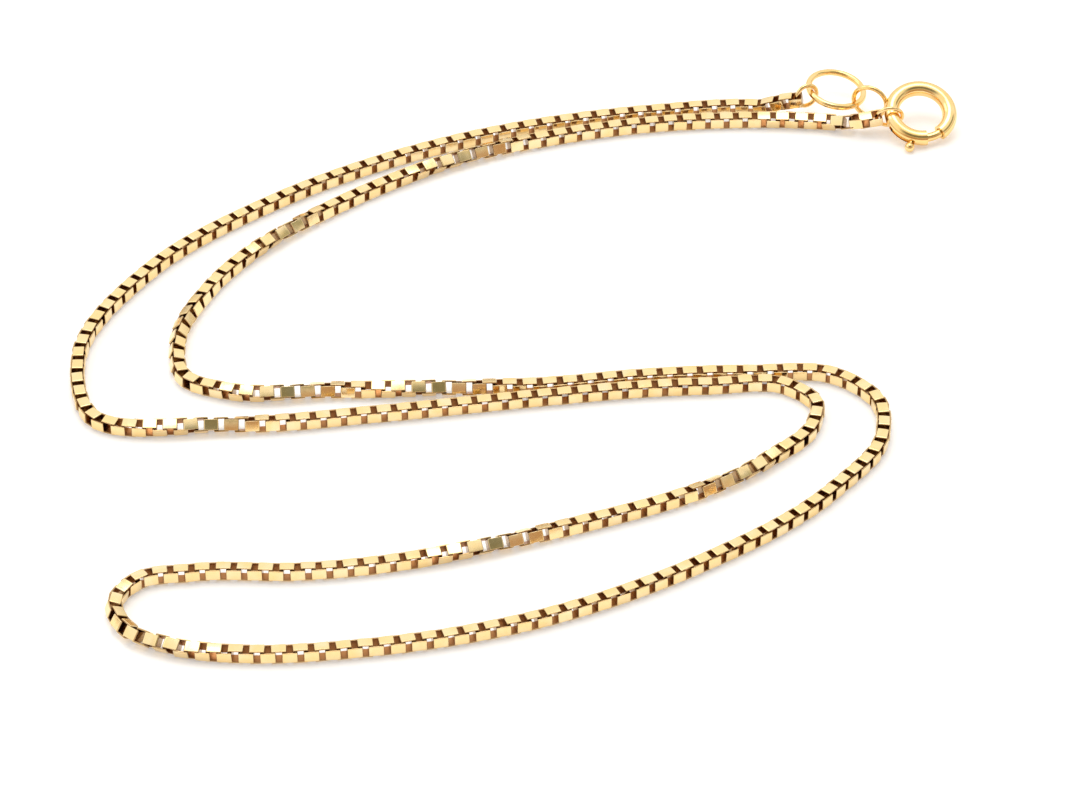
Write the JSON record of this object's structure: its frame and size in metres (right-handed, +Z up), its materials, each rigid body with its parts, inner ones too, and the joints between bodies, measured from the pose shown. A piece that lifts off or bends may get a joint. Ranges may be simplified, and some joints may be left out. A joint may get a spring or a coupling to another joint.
{
  "type": "box chain necklace",
  "caption": "Closed gold box chain necklace lying flat in winding bends, joined by a spring ring clasp, a jump ring and small end rings.",
  "frame": {"origin": "centre of the part's footprint, on the surface that it lies on", "axes": "+Z up from that surface, +X to the right and +Y away from the viewer, with the clasp at the far right"},
  "size_m": [0.0796, 0.0792, 0.0036],
  "materials": {
    "gold_chain": "polished yellow gold",
    "gold_findings": "polished yellow gold"
  },
  "bodies": {
    "necklace": {"chain_back": "gold_chain", "chain_front": "gold_chain", "end_link_back": "gold_chain", "end_link_front": "gold_chain", "end_ring": "gold_findings", "jump_ring": "gold_findings", "hook_ring": "gold_findings", "clasp_body": "gold_findings"},
    "bolt": {"clasp_bolt": "gold_findings"}
  },
  "joints": [
    {"name": "bolt_travel", "type": "hinge", "parent": "necklace", "child": "bolt", "pos_m": [0.03645, 0.033, 0.00181], "axis": [0.0457, -0.3718, 0.9272], "range_deg": [-38, 0], "stiffness_Nm_per_rad": 0.002, "springref_deg": 14.32}
  ]
}
